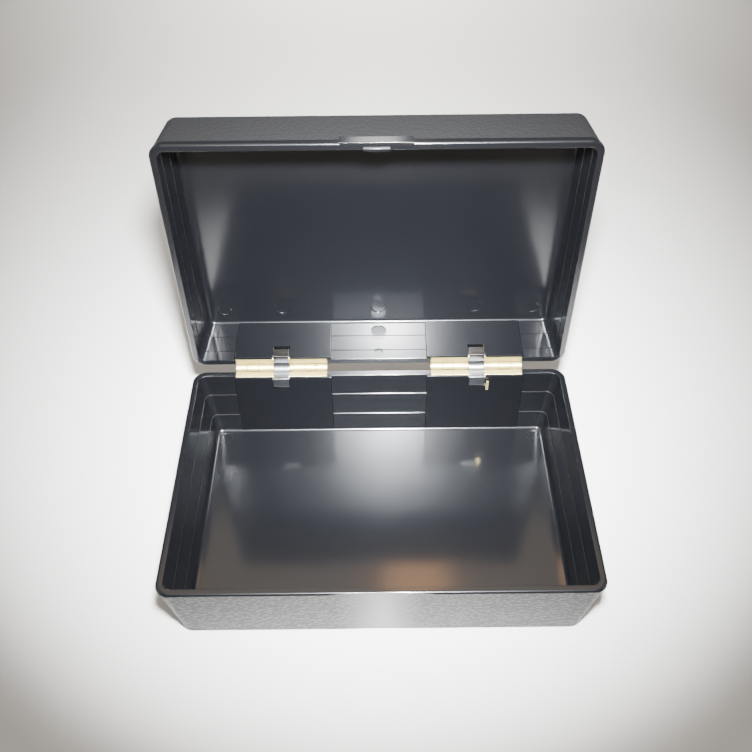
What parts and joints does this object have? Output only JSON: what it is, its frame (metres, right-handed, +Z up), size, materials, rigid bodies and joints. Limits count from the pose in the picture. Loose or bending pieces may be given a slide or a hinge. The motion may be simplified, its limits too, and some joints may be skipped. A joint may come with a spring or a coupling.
{
  "type": "hinged storage box",
  "caption": "Shallow black moulded-plastic box, open, with a matching lid on two brass spring hinges at the rear and a thumb ledge and catch at the front.",
  "frame": {"origin": "centre of the base's flat underside, which the box stands on", "axes": "+X along the box's width, towards the right seen from the front; -Y towards the front with the thumb ledge and catch; +Z up, out of the open base"},
  "size_m": [0.156, 0.1337, 0.1398],
  "materials": {
    "black_plastic": "near-black injection-moulded plastic, glossy inside, pebble grain outside",
    "brass": "bright pale brass sheet, bent and rolled",
    "spring_steel": "bright spring steel strip",
    "pin_steel": "plain steel wire"
  },
  "bodies": {
    "base": {"base_shell": "black_plastic", "hinge_left_base_leaf": "brass", "hinge_left_pin": "pin_steel", "hinge_left_spring": "spring_steel", "hinge_right_base_leaf": "brass", "hinge_right_pin": "pin_steel", "hinge_right_spring": "spring_steel"},
    "lid": {"lid_shell": "black_plastic", "hinge_left_lid_leaf": "brass", "hinge_right_lid_leaf": "brass"}
  },
  "joints": [
    {"name": "lid_hinge", "type": "hinge", "parent": "base", "child": "lid", "pos_m": [0, 0.054, 0.03365], "axis": [1, 0, 0], "range_deg": [0, 92], "deforming": ["hinge_left_spring", "hinge_right_spring"]}
  ]
}
